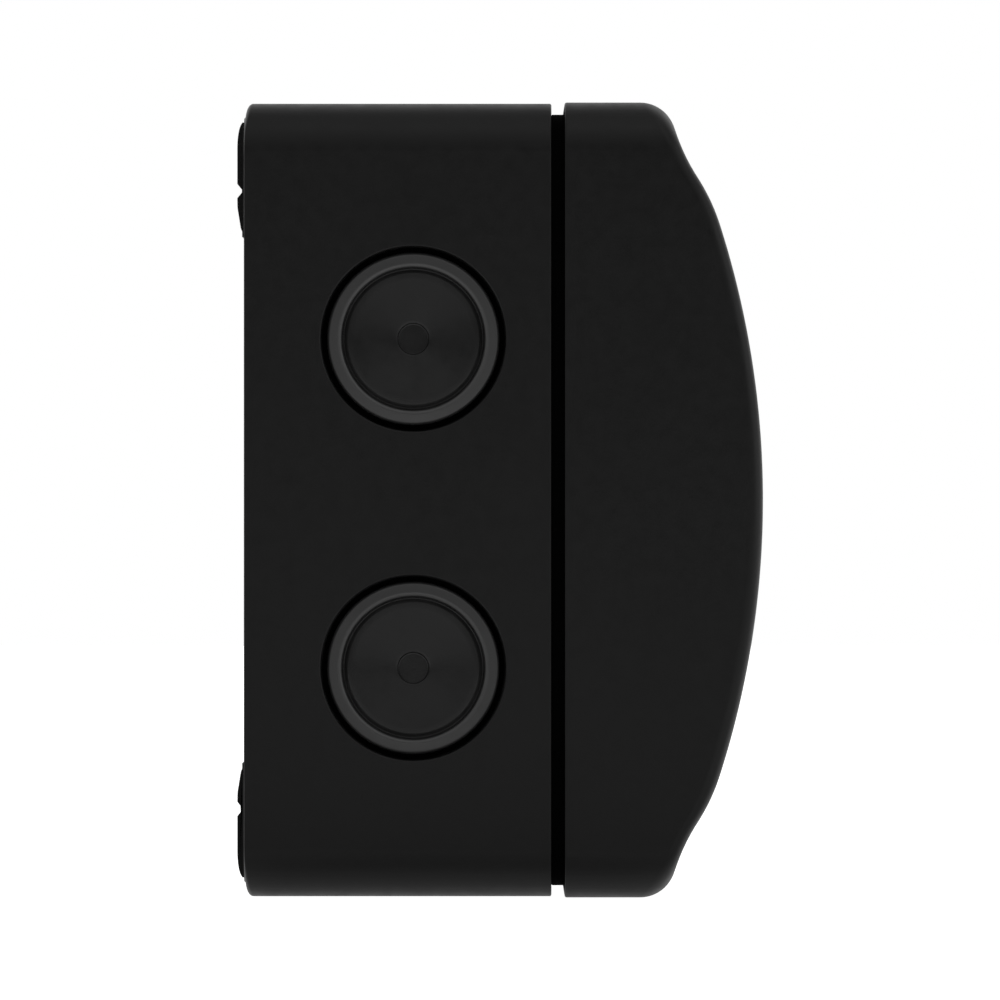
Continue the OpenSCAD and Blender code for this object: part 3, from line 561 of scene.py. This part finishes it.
def board(name, mask, copper):
    """Circuit board: solder mask over faint tracks, with a matt weave."""
    mat, tree, shader = node_tree(name)
    at = position_mm(tree)
    pattern = {"Vector": at, "Scale": 0.22, "Mortar Size": 0.06, "Mortar Smooth": 0.2}
    tracks = add(tree, "TexBrick", pattern, offset=0.5).outputs["Fac"]
    weave = noise(tree, at, 0.5, detail=2.0)
    tone = mix(tree, ramp(tree, noise(tree, at, 7.0), 0.35, 0.65), grey(0.85, mask), grey(1.1, mask))
    colour = mix(tree, times(tree, tracks, 0.55), tone, (*copper, 1.0))
    height = plus(tree, tracks, times(tree, weave, 0.2))
    dress(tree, shader, colour, ramp(tree, weave, 0.3, 0.7, 0.28, 0.42), bump(tree, height, 0.03))
    return mat


def turned_plastic(name, tone, rough):
    """Plastic with the turning marks of the plugs' mould, round both plugs' own axes, and a painted highlight
    on the rim.
    """
    mat = plastic(name, tone, rough, grain=0.4, grain_depth=0.01, wear=0.25)
    tree = mat.node_tree
    shader = next(n for n in tree.nodes if n.type == "BSDF_PRINCIPLED")
    split = add(tree, "SeparateXYZ", {"Vector": position_mm(tree)})
    upper = math_node(tree, "GREATER_THAN", split.outputs["Z"], 0.0)
    axis_z = ramp(tree, upper, 0.0, 1.0, PLUG_Z[1], PLUG_Z[0])
    dz = math_node(tree, "SUBTRACT", split.outputs["Z"], axis_z)
    dy = plus(tree, split.outputs["Y"], PLUG_D)
    outward = add(tree, "CombineXYZ", {"X": 0.0, "Y": dy, "Z": dz}).outputs["Vector"]
    radius = vector_math(tree, "LENGTH", {0: outward}, "Value")
    # The dimple has no turning marks: a large level part swamps the outward one there
    level = times(tree, math_node(tree, "LESS_THAN", radius, DIMPLE_FLOOR_R), 100.0)
    along = add(tree, "CombineXYZ", {"X": 0.0, "Y": plus(tree, dy, level), "Z": dz}).outputs["Vector"]
    # The rim's marks run the other way, across it
    around = vector_math(tree, "CROSS_PRODUCT", {0: (1.0, 0.0, 0.0), 1: outward}, "Vector")
    on_rim = math_node(tree, "GREATER_THAN", radius, RIM_INSIDE_R)
    marks = add(tree, "Mix", {0: on_rim, 4: along, 5: around}, data_type="VECTOR").outputs[1]
    tree.links.new(marks, shader.inputs["Tangent"])
    shader.inputs["Anisotropic"].default_value = 0.9
    shader.inputs["Specular IOR Level"].default_value = 0.6
    # The rim carries a painted highlight, brightest on its inner crest
    rim = times(tree, ramp(tree, radius, *HIGHLIGHT_GROWS), ramp(tree, radius, *HIGHLIGHT_FADES))
    highlight_tone = mix(tree, ramp(tree, radius, *CREST_HIGHLIGHT_FADES), grey(0.055), grey(0.09))
    plain = shader.inputs["Base Color"].links[0].from_socket
    tree.links.new(mix(tree, rim, plain, highlight_tone), shader.inputs["Base Color"])
    return mat


FINISHES = (
    (plastic, "housing_plastic", dict(tone=0.0045, rough=0.41, wear=0.5, specular=0.42)),
    (plastic, "cover_plastic", dict(tone=0.0043, rough=0.39, wear=0.5, specular=0.42)),
    (turned_plastic, "plug_plastic", dict(tone=0.008, rough=0.34)),
    (rubber, "foot_rubber", dict(tone=0.006)),
    # Black rubber seals, made darker still as painted shade in the deep gaps where they sit
    (rubber, "seal_rubber", dict(tone=0.0012, rough=0.9, specular=0.05)),
    (plastic, "inner_plastic", dict(tone=0.02, rough=0.5)),
    (metal, "zinc_steel", dict(colour=(0.55, 0.56, 0.56), rough=0.3)),
    (metal, "clip_steel", dict(colour=(0.3, 0.3, 0.31), rough=0.35)),
    (metal, "insert_brass", dict(colour=(0.72, 0.52, 0.2), rough=0.3)),
    (metal, "fuse_brass", dict(colour=(0.78, 0.6, 0.28), rough=0.25)),
    (clear, "lens_red", dict(colour=(0.55, 0.02, 0.015), rough=0.04)),
    (clear, "lens_green", dict(colour=(0.02, 0.42, 0.16), rough=0.04)),
    (plastic, "mask_black", dict(tone=0.006, rough=0.55, grain=0.3, grain_depth=0.008)),
    (metal, "chassis_aluminium", dict(colour=(0.8, 0.81, 0.82), rough=0.3, brush=(0.06, 1, 1))),
    (board, "lamp_board", dict(mask=(0.55, 0.56, 0.54), copper=(0.62, 0.62, 0.58))),
    (clear, "lamp_red", dict(colour=(0.9, 0.25, 0.2), rough=0.12)),
    (clear, "lamp_green", dict(colour=(0.3, 0.85, 0.5), rough=0.12)),
    (plastic, "box_white", dict(tone=0.72, rough=0.42, tint=(1, 0.99, 0.96), grain_depth=0.006, spread=0.04)),
    (
        plastic, "diffuser_opal",
        dict(tone=0.66, rough=0.35, tint=(1, 1, 0.98), grain=0.9, grain_depth=0.01, spread=0.05),
    ),
    (board, "board_green", dict(mask=(0.012, 0.11, 0.035), copper=(0.05, 0.2, 0.07))),
    (plastic, "cable_grey", dict(tone=0.22, rough=0.5, grain_depth=0.008)),
    (plastic, "capacitor_sleeve", dict(tone=0.02, rough=0.3, tint=(0.8, 1.0, 1.6), grain_depth=0.004)),
    (
        metal, "transformer_core",
        dict(colour=(0.16, 0.15, 0.14), rough=0.5, brush=(1, 0.05, 1), brush_size=0.3),
    ),
    (clear, "fuse_glass", dict(colour=(0.93, 0.95, 0.94), rough=0.02)),
    (plastic, "varistor_blue", dict(tone=0.3, rough=0.4, tint=(0.12, 0.3, 0.9), grain=1.0, grain_depth=0.03)),
    (plastic, "chip_black", dict(tone=0.018, rough=0.5, grain=0.25, grain_depth=0.012)),
    (plastic, "terminal_green", dict(tone=0.2, rough=0.4, tint=(0.12, 0.9, 0.35), grain_depth=0.006)),
    (rubber, "vent_membrane", dict(tone=0.5, rough=0.8)),
)
finish = {name: kind(name, **values) for kind, name, values in FINISHES}

# ---------------------------------------------------------------- shells


def cover_envelope():
    """Outer skin of the cover with its rounded front edge."""
    width, height = COVER_W - 2 * EPS, COVER_H - 2 * EPS
    ring = outline(width, height, CORNER_R - EPS, corner_steps=20, side_steps=96, top_steps=12)
    rows = [ring_3d(ring, COVER_RIM_R, cover_back - CLEAR)]
    for q, h in arc_points(COVER_RIM_R, COVER_RIM_R, COVER_RIM_R, -90, -180, 5):
        rows.append(ring_3d(ring, q, cover_back + h))
    steps = 12
    front = [[] for _ in range(steps + 1)]
    for x, z, nx, nz in ring:
        r = edge_radius(nz)
        # The rounding ends where it meets the face's slope, and the slope there depends on where that is
        slope = 0.0
        for _ in range(3):
            gamma = math.atan(abs(nz) * slope)
            inset = r * (1 - math.sin(gamma))
            slope = face_slope(z - nz * inset)
        centre = face_depth(z - nz * inset) - EPS - r * math.cos(gamma)
        for k in range(steps + 1):
            a = math.pi - (math.pi / 2 - gamma) * k / steps
            q, d = r + r * math.cos(a), centre + r * math.sin(a)
            front[k].append((x - nx * q, -d, z - nz * q))
    bm = loft(rows + front, caps=(True, False))
    bm.verts.ensure_lookup_table()
    rule_across(bm, bm.verts[-len(ring):])
    return close_strips(bm)


window = outline(WINDOW_W, WINDOW_H, WINDOW_R, corner_steps=12, side_steps=24)
cuts = [edge_cutter(shifted(window, 0, side * WINDOW_Z), front_surface, WINDOW_EDGE_R) for side in (-1, 1)]
for sx in (-1, 1):
    for sz in (-1, 1):
        hole = circle_ring(sx * SCREW_X, sz * SCREW_Z, COUNTERBORE_R)
        cuts.append(edge_cutter(hole, front_surface, COUNTERBORE_EDGE_R))

cover = combine(cad_copy("front_cover"), [("INTERSECT", cover_envelope()), ("DIFFERENCE", joined(cuts))])
make_piece("cover_shell", cover, "front_cover")


def back_edge(ring, u, v):
    """A ring on the back edge: u from 1 on the back face to 0 on the side, v the depth from 0 to 1."""
    points = []
    for x, z, nx, nz in ring:
        share = nz * nz
        inset = u * (BACK_EDGE_R + (BACK_CURVE_H - BACK_EDGE_R) * share)
        depth = HOUSE_BACK + BACK_STEP * share + v * (BACK_EDGE_R + (BACK_CURVE_D - BACK_EDGE_R) * share)
        points.append((x - nx * inset, -depth, z - nz * inset))
    return points


def housing_envelope():
    """Outer skin of the housing with a soft back edge and rim, open behind the back face for the lands."""
    ring = outline(HOUSE_W - 2 * EPS, HOUSE_H - 2 * EPS, CORNER_R - EPS, corner_steps=20)
    inner = back_edge(ring, 1.1, 0.0)
    rows = [[(x, -d, z) for x, _, z in inner] for d in (-CLEAR, HOUSE_BACK)]
    for u, v in arc_points(1, 1, 1, -90, -180, 10):
        rows.append(back_edge(ring, u, v))
    for q, h in arc_points(HOUSE_RIM_R, -HOUSE_RIM_R, HOUSE_RIM_R, 180, 90, 5):
        rows.append(ring_3d(ring, q, house_rim + h))
    rows.append(ring_3d(ring, HOUSE_RIM_R, house_rim + CLEAR))
    return loft(rows)


def recess_cutter(z):
    """Rounds the rim of a plug's recess."""
    r = RECESS_EDGE_R
    sink = r - SKIM
    profile = [(0, -sink), (RECESS_R - CLEAR, -sink)]
    profile += [(RECESS_R + sink + q, -sink + h) for q, h in arc_points(0, 0, r, 180, 90, 7)]
    profile += [(RECESS_R + sink, CLEAR), (0, CLEAR)]
    turned = placed(lathe(profile, 160), TO_LEFT)
    return placed(turned, Matrix.Translation((-HOUSE_W / 2 + EPS, -PLUG_D, z)))


recesses = joined([recess_cutter(z) for z in PLUG_Z])
housing = combine(cad_copy("base_housing"), [("INTERSECT", housing_envelope()), ("DIFFERENCE", recesses)])
make_piece("housing_shell", housing, "base_housing")

# ---------------------------------------------------------------- plugs


def plug_profile():
    """Half section of a plug: shank, rim with a rounded crest, groove, dished disc and dimple."""
    points = [(0, -0.8), (8.1, -0.8), (8.2, -0.9), (8.2, -7.7), (8.3, -7.8)]
    points += [(9.35, -7.8), (9.95, -7.2), (9.95, 0), (PLUG_R - 0.15, 0), (PLUG_R, 0.15)]
    points += arc_points(PLUG_R - 0.85, 1.7, 0.85, 0, 72, 12)
    points += arc_points(12.4, 1.9, 0.8, 90, 165, 8)
    points += [(11.58, 1.7), (11.5, 1.52), (11.4, 1.43), (11.28, 1.41), (11.14, 1.48), (10.98, 1.6)]
    points += [(10.82, 1.73), (10.7, 1.81), (DISC_R, 1.84)]
    for i in range(1, 9):
        r = DISC_R - (DISC_R - DIMPLE_R) * i / 8
        points.append((r, 1.84 - 0.4 * (1 - (r - DIMPLE_R) / (DISC_R - DIMPLE_R)) ** 0.8))
    points += [(2.75, 1.42), (2.62, 1.36), (2.52, 1.1), (2.44, 0.93), (2.36, 0.9), (2.28, 0.9), (0, 0.9)]
    return points


for name, z in zip(("upper", "lower"), PLUG_Z):
    plug = placed(lathe(plug_profile(), 192), Matrix.Translation((-PLUG_FOOT, -PLUG_D, z)) @ TO_LEFT)
    make_piece(f"blanking_plug_{name}", plug, f"plug_{name}")

# ---------------------------------------------------------------- lenses


def lens_mesh(side):
    """A solid bowed lens that fills its window, with a flange behind."""
    steps = {"corner_steps": 10, "side_steps": 30}
    w, h, r = WINDOW_W - 2 * LENS_PLAY, WINDOW_H - 2 * LENS_PLAY, WINDOW_R - LENS_PLAY
    front = shifted(outline(w, h, r, **steps), 0, side * WINDOW_Z)
    w, h, r = WINDOW_W + 2 * FLANGE_W, WINDOW_H + 2 * FLANGE_W, WINDOW_R + FLANGE_W
    flange = shifted(outline(w, h, r, **steps), 0, side * WINDOW_Z)
    rows = [bowed_ring(flange, 0.25, LENS_BACK_R), bowed_ring(flange, 0.0, LENS_BACK_R + 0.25)]
    rows += [bowed_ring(flange, 0.0, FLANGE_FRONT_R, 0.2), bowed_ring(flange, 0.2, FLANGE_FRONT_R)]
    rows.append(bowed_ring(front, 0.0, FLANGE_FRONT_R))
    edge = LENS_EDGE_R
    for q, h in arc_points(0, 0, edge, 180, 90, 5):
        rows.append(bowed_ring(front, edge + q, LENS_FRONT_R, edge - h))
    bm = loft(rows, caps=(False, False))
    bm.verts.ensure_lookup_table()
    rule_across(bm, bm.verts[: len(front)])
    rule_across(bm, bm.verts[-len(front):])
    return close_strips(bm)


for name, side in (("red", 1), ("green", -1)):
    make_piece(f"bowed_lens_{name}", lens_mesh(side), f"lens_{name}")

# ---------------------------------------------------------------- every other part, with soft edges


def foot_envelope(side):
    """The worn crown of the upper (1) or lower (-1) feet, from the left feet to the right ones."""
    (end_h, end_d), (ramp_h, ramp_d) = FOOT_END, FOOT_RAMP
    crown_line = [(FOOT_CUT_D, FOOT_TOP - EPS)]
    for u, v in arc_points(0, 0, 1, 0, 90, 10):
        crown_line.append((end_d * (1 - v) + EPS, FOOT_TOP - EPS - end_h * (1 - u)))
    crown_line += [(EPS, NOTCH_Z + NOTCH_HALF), (NOTCH_D, NOTCH_Z + NOTCH_FLOOR)]
    crown_line += [(NOTCH_D, NOTCH_Z - NOTCH_FLOOR), (EPS, NOTCH_Z - NOTCH_HALF)]
    for u, v in arc_points(0, 0, 1, 90, 0, 12):
        crown_line.append((ramp_d * (1 - v) + EPS, FOOT_BOTTOM + EPS + ramp_h * (1 - u)))
    crown_line.append((FOOT_CUT_D, FOOT_BOTTOM + EPS))
    return loft([[(x, -d, side * z) for d, z in crown_line] for x in (-FOOT_CUT_X, FOOT_CUT_X)])


def footed_pads():
    crowns = joined([foot_envelope(side) for side in (-1, 1)])
    return combine(cad_copy("foot_pads"), [("INTERSECT", crowns)])


def softened(bm, width):
    """Merges a solid's coplanar facets and rounds its sharp edges."""
    flat, sharp = math.radians(0.4), math.radians(30.0)
    bmesh.ops.dissolve_limit(bm, angle_limit=flat, verts=bm.verts, edges=bm.edges)
    edges = [e for e in bm.edges if len(e.link_faces) == 2 and e.calc_face_angle(0) > sharp]
    if edges:
        bmesh.ops.bevel(
            bm, geom=edges, offset=width, offset_type="OFFSET", segments=2, profile=0.5, affect="EDGES",
            clamp_overlap=True,
        )
    return bm


EDGE_WIDTHS = {
    "foot_pads": 0.12,
    "cover_gasket": 0.2,
    "cable_grommet": 0.2,
    "vent_plug": 0.15,
    "lens_frame": 0.15,
    "chassis": 0.2,
    "led_board_red": 0.1,
    "led_board_green": 0.1,
    "driver_board": 0.1,
    "light_box_red": 0.2,
    "light_box_green": 0.2,
    "transformer": 0.3,
    "capacitor": 0.4,
    "varistor": 0.3,
    "terminal_block": 0.2,
}
SMALL_EDGE = 0.06
SEAL_SQUEEZE = 0.97
SHAPED = ("front_cover", "base_housing", "plug_upper", "plug_lower", "lens_red", "lens_green")

for node in sorted(set(nodes) - set(SHAPED)):
    solid = footed_pads() if node == "foot_pads" else cad_copy(node)
    bm = softened(solid, EDGE_WIDTHS.get(node, SMALL_EDGE))
    if node.startswith("screw_seal"):
        # The screw's head turns on its seal, so the seal's front stays a hair below it
        seat = Matrix.Translation((0, -max(v.co.y for v in bm.verts), 0))
        bmesh.ops.scale(bm, vec=(1, SEAL_SQUEEZE, 1), space=seat, verts=bm.verts)
    make_piece(f"{node}_part", bm, node)

# ---------------------------------------------------------------- stage, light and camera

# The floor and the camera's numbers are in metres, and the glows' places in millimetres
FLOOR_REACH, FLOOR_GAP = 6.0, 0.0002
PANEL_GLOW = 0.3
# Brightness of the studio by direction: dim on the camera's side (0), bright behind the object (1)
GLOW = (
    (0.0, 0.004), (0.1, 0.018), (0.3, 0.085), (0.55, 0.19), (0.66, 0.28), (0.72, 0.35), (0.8, 0.5),
    (0.87, 0.6), (1.0, 0.75),
)
# The studio's sides, towards the object's front and back, are this much brighter
SIDE_GLOW = 0.2
CAMERA_AT = (-3.557, -0.04295, 0.0)
CAMERA_LENS, SENSOR_W = 770.6, 36.0
LIGHTS_AIM = Vector((0, -0.043, 0))
# Name, place, size and power
SOFTBOXES = (
    ("key_over", (-0.35, -0.25, 1.1), (0.9, 0.9), 0.6),
    ("fill_front", (-0.4, -1.2, 0.25), (0.8, 0.8), 0.8),
)

floor_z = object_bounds()[0][2] - FLOOR_GAP
corners = [(sx * FLOOR_REACH, sy * FLOOR_REACH, floor_z) for sx, sy in ((-1, -1), (1, -1), (1, 1), (-1, 1))]
floor_mesh = bpy.data.meshes.new("floor")
floor_mesh.from_pydata(corners, [], [(0, 1, 2, 3)])
floor = bpy.data.objects.new("floor", floor_mesh)
bpy.context.scene.collection.objects.link(floor)

floor_mat, tree, shader = node_tree("pale_floor")
shader.inputs["Base Color"].default_value = grey(0.82)
shader.inputs["Roughness"].default_value = 0.9
shader.inputs["Emission Color"].default_value = grey(1.0)
# The floor is a light table: white to the camera and softer in the light that it gives, which is dim on the
# camera's side but for a patch beside the plugs
seen = add(tree, "LightPath").outputs["Is Camera Ray"]
split = add(tree, "SeparateXYZ", {"Vector": position_mm(tree)})
away = split.outputs["X"]
given = ramp(tree, away, -69.0, -57.0, 0.05, 0.5)
aside = math_node(tree, "ABSOLUTE", plus(tree, split.outputs["Y"], PLUG_D))
patch = times(tree, ramp(tree, aside, 260.0, 180.0), ramp(tree, away, -420.0, -300.0))
patch = times(tree, patch, ramp(tree, away, -100.0, -140.0, 0.0, PANEL_GLOW))
given = math_node(tree, "MAXIMUM", given, patch)
tree.links.new(math_node(tree, "MAXIMUM", given, seen), shader.inputs["Emission Strength"])
floor_mesh.materials.append(floor_mat)

world = bpy.data.worlds.new("studio")
world.use_nodes = True
bpy.context.scene.world = world
tree = world.node_tree
tree.nodes.clear()
heading = add(tree, "SeparateXYZ", {"Vector": add(tree, "TexCoord").outputs["Generated"]})
curve = add(tree, "ValToRGB", {"Fac": ramp(tree, heading.outputs["X"], -1.0, 1.0)})
for place, value in GLOW[1:-1]:
    curve.color_ramp.elements.new(place)
for element, (place, value) in zip(curve.color_ramp.elements, GLOW):
    element.position = place
    element.color = grey(value)
sideways = math_node(tree, "ABSOLUTE", heading.outputs["Y"])
upright = math_node(tree, "ABSOLUTE", heading.outputs["Z"])
# Broad panels above and below on the camera's side, with a dark band between them at the camera's height,
# which the turned plugs stretch into a wedge left and right of the dimple
panel = times(tree, ramp(tree, sideways, 0.75, 0.55), ramp(tree, upright, 0.08, 0.4))
panel = times(tree, panel, ramp(tree, heading.outputs["X"], -0.2, -0.5, 0.0, PANEL_GLOW))
strength = plus(tree, curve.outputs["Color"], times(tree, sideways, SIDE_GLOW))
studio = add(tree, "Background", {"Color": grey(1.0), "Strength": plus(tree, strength, panel)})
white = add(tree, "Background", {"Color": grey(1.0), "Strength": 1.0})
seen = add(tree, "LightPath").outputs["Is Camera Ray"]
both = add(tree, "MixShader", {0: seen, 1: studio.outputs[0], 2: white.outputs[0]})
add(tree, "OutputWorld", {"Surface": both.outputs[0]})

for name, at, size, power in SOFTBOXES:
    light = bpy.data.lights.new(name, "AREA")
    light.shape = "RECTANGLE"
    light.size, light.size_y = size
    light.energy = power
    softbox = bpy.data.objects.new(name, light)
    softbox.location = at
    softbox.rotation_euler = (LIGHTS_AIM - Vector(at)).to_track_quat("-Z", "Y").to_euler()
    bpy.context.scene.collection.objects.link(softbox)

camera_data = bpy.data.cameras.new("camera")
camera_data.lens = CAMERA_LENS
camera_data.sensor_width = SENSOR_W
camera = bpy.data.objects.new("camera", camera_data)
camera.location = CAMERA_AT
camera.rotation_euler = (math.pi / 2, 0.0, -math.pi / 2)
bpy.context.scene.collection.objects.link(camera)
bpy.context.scene.camera = camera
bpy.context.scene.view_settings.view_transform = "Standard"
